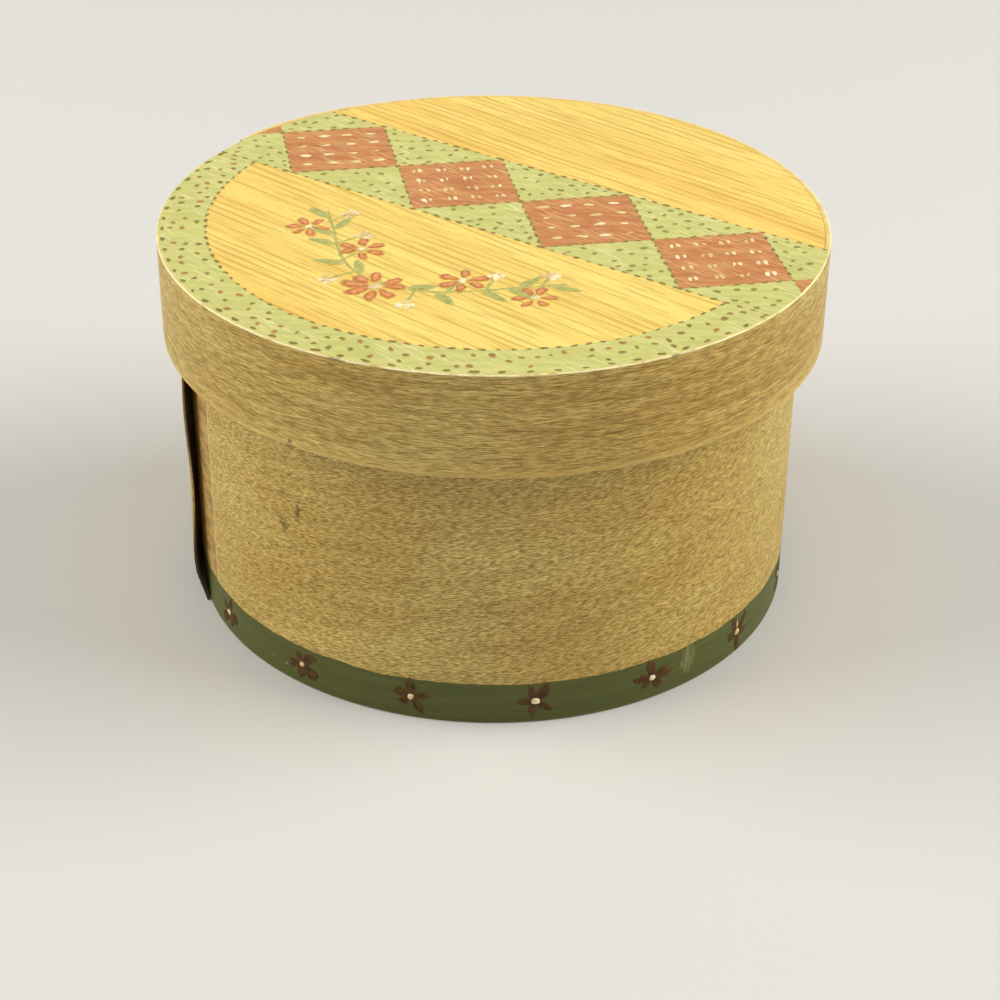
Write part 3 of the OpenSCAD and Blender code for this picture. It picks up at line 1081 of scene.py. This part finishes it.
# Sprig of daisies along a curved stem
sprig = {
    "radius": 33.0, "spread": 58.0, "wave": 2.4, "waves": 4.0, "steps": 60,
    "daisyRoot": 0.86, "blossomRoot": 0.9, "leafLean": 38.0, "leafOut": 0.55,
}
petalEdge = {"length": 4.3, "width": 2.3, "height": 0.09, "taper": 0.35, "reach": 2.9, "lift": 0.03}
petalLook = {"length": 3.3, "width": 1.45, "height": 0.13, "taper": 0.35}
leafLook = {"length": 6.4, "width": 2.3, "height": 0.1, "taper": -0.35}
blossomLook = {
    "length": 1.9, "width": 1.5, "height": 0.14, "dabs": 5, "ring": 1.25, "lift": 0.02,
    "heart": 1.1, "heartLift": 0.08,
}
stemLook = {"length": 2.3, "width": 0.75, "height": 0.08, "spacing": 1.1, "unsteady": 0.12, "seed": 6}
# Angle from the sprig's middle and distance out, then a daisy's size and petals, or a leaf's side
daisies = [(0.0, 1.5, 1.25, 8), (-24.0, -4.5, 1.0, 6), (24.0, -4.5, 1.0, 6), (-47.0, 4.5, 0.9, 6),
           (47.0, 4.5, 0.9, 6)]
blossoms = [(-12.5, 6.0), (12.5, 6.0), (-36.0, -5.5), (36.0, -5.5), (-57.0, -4.0), (57.0, -4.0)]
leaves = [(8.0, -1), (17.0, 1), (31.0, 1), (39.0, 1), (43.0, -1), (53.0, 1)]
sprigFacing = quilt["slope"] - 90


def sprigPoint(angle, out=0.0):
    wave = sprig["wave"] * math.cos(math.radians(angle * sprig["waves"]))
    return polar(sprig["radius"] + wave + out, sprigFacing + angle)


def paintSprig():
    spread, steps = sprig["spread"], sprig["steps"]
    stems = [[sprigPoint(-spread + 2 * spread * k / steps) for k in range(steps + 1)]]
    for angle, out, size, petals in daisies:
        root = angle * sprig["daisyRoot"]
        stems.append([sprigPoint(root, out * t) * (1 - t) + sprigPoint(angle, out) * t
                      for t in [k / 6 for k in range(7)]])
    for angle, out in blossoms:
        root = angle * sprig["blossomRoot"]
        stems.append([sprigPoint(root) * (1 - t) + sprigPoint(angle, out) * t for t in (0, 0.5, 1)])
    stemLines = lineMesh("stemLines", stems, topZ)
    runTree("stems", stemLines, stitchTree, markSizes(stemLook, "stem"), "lid")
    marks = []
    for angle, side in leaves:
        for mirror in (1, -1):
            at = sprigPoint(angle * mirror)
            travel = sprigFacing + angle * mirror + 90 * mirror
            turn = travel - sprig["leafLean"] * side * mirror
            place = at + polar(leafLook["length"] * sprig["leafOut"], turn)
            marks.append(((place.x, place.y, topZ), turn, 1.0))
    paintMarks("leaves", marks, leafLook, "stem")
    paintDaisies()


def paintDaisies():
    rng = random.Random(8)
    petals, hearts = [], []
    for angle, out, size, count in daisies:
        centre = sprigPoint(angle, out)
        first = rng.uniform(0, 360)
        for k in range(count):
            turn = first + 360 * k / count + rng.uniform(-9, 9)
            place = centre + polar(petalEdge["reach"] * size, turn)
            petals.append(((place.x, place.y, topZ + petalEdge["lift"]), turn, size * rng.uniform(0.85, 1.1)))
        heart = (centre.x, centre.y, topZ + blossomLook["heartLift"])
        hearts.append((heart, rng.uniform(0, 90), blossomLook["heart"] * size))
    for angle, out in blossoms:
        centre = sprigPoint(angle, out)
        for k in range(blossomLook["dabs"]):
            place = centre + polar(blossomLook["ring"] if k else 0.0, 90 * k + rng.uniform(-20, 20))
            dab = (place.x, place.y, topZ + blossomLook["lift"])
            hearts.append((dab, rng.uniform(0, 180), rng.uniform(0.75, 1.05)))
    paintMarks("petalEdges", petals, petalEdge, "petalEdge")
    paintMarks("daisyPetals", petals, petalLook, "petal")
    paintMarks("creamBlossoms", hearts, blossomLook, "cream")


paintSprig()
print("sprig painted")


# Flowers round the painted foot
foot = {
    "first": -82.0, "count": 16, "petals": 5, "height": 4.7, "lowest": 0.2,
    "smear": (-37.1, 6.6, 1.35, 0.36), "smearLift": 0.02,
}
footPetal = {"length": 4.3, "width": 2.3, "height": 0.035, "taper": 0.25, "reach": 1.85, "second": 0.45}
footHeart = {"length": 1.5, "width": 1.25, "height": 0.18, "lift": 0.05}
lapStations = list(stripStations(sideStrip))
lapStart = lapStations[0][0]
lapEnd = lapStations[-1][0] - 360


# How far the lap stands out from the side band at an angle and a height
def standsOut(angle, z):
    at = lapStart + (angle - lapStart) % 360 + 360
    for near, far in zip(lapStations, lapStations[1:]):
        if near[0] <= at <= far[0]:
            outer = near[2] + (far[2] - near[2]) * (at - near[0]) / (far[0] - near[0])
            return outer + lapSwell(sideStrip, at, lapEnd + 360, z) - bodyR
    return 0.0


# Marks keep above the foot's edge and lie on the lap where they meet it
def layOnLap(piece):
    for vertex in piece.data.vertices:
        angle = math.degrees(math.atan2(vertex.co.y, vertex.co.x)) % 360
        vertex.co.z = max(vertex.co.z, foot["lowest"] * mm)
        if lapStart < angle < lapEnd:
            vertex.co += polar(standsOut(angle, vertex.co.z / mm) * mm, angle).to_3d()


# One stroke of a flower, from its heart outwards
def footMark(angle, turn, stretch, widen):
    step = polar(footPetal["reach"] * stretch, turn)
    at = angle + math.degrees(step.x / bodyR)
    return (math.radians(at) * bodyR, foot["height"] + step.y, 0.0), turn, stretch, widen


# Marks rolled round the foot
def rollMarks(name, marks, look, paint):
    values = markSizes(look, paint)
    values["Wrap Radius"] = bodyR * mm
    layOnLap(runTree(name, pointMesh(name + "Points", marks), rollTree, values, "box"))


def paintFoot():
    rng = random.Random(5)
    petals, hearts = [], []
    apart = 360 / foot["petals"]
    for k in range(foot["count"]):
        angle = foot["first"] + 360 / foot["count"] * k
        first = rng.uniform(0, apart)
        for j in range(foot["petals"]):
            turn = first + apart * j + rng.uniform(-12, 12)
            stretch = rng.uniform(0.72, 1.1)
            petals.append(footMark(angle, turn, stretch, rng.uniform(0.75, 1.2)))
            turn += rng.uniform(-16, 16)
            petals.append(footMark(angle, turn, stretch * rng.uniform(0.95, 1.2), footPetal["second"]))
        heart = (math.radians(angle) * bodyR, foot["height"], footHeart["lift"])
        hearts.append((heart, rng.uniform(0, 90), rng.uniform(0.85, 1.15)))
    angle, high, stretch, widen = foot["smear"]
    smear = (math.radians(angle) * bodyR, high, foot["smearLift"])
    hearts.append((smear, 90.0, stretch, widen))
    rollMarks("footPetals", petals, footPetal, "footPetal")
    rollMarks("footHearts", hearts, footHeart, "cream")


paintFoot()
print("foot flowers painted")
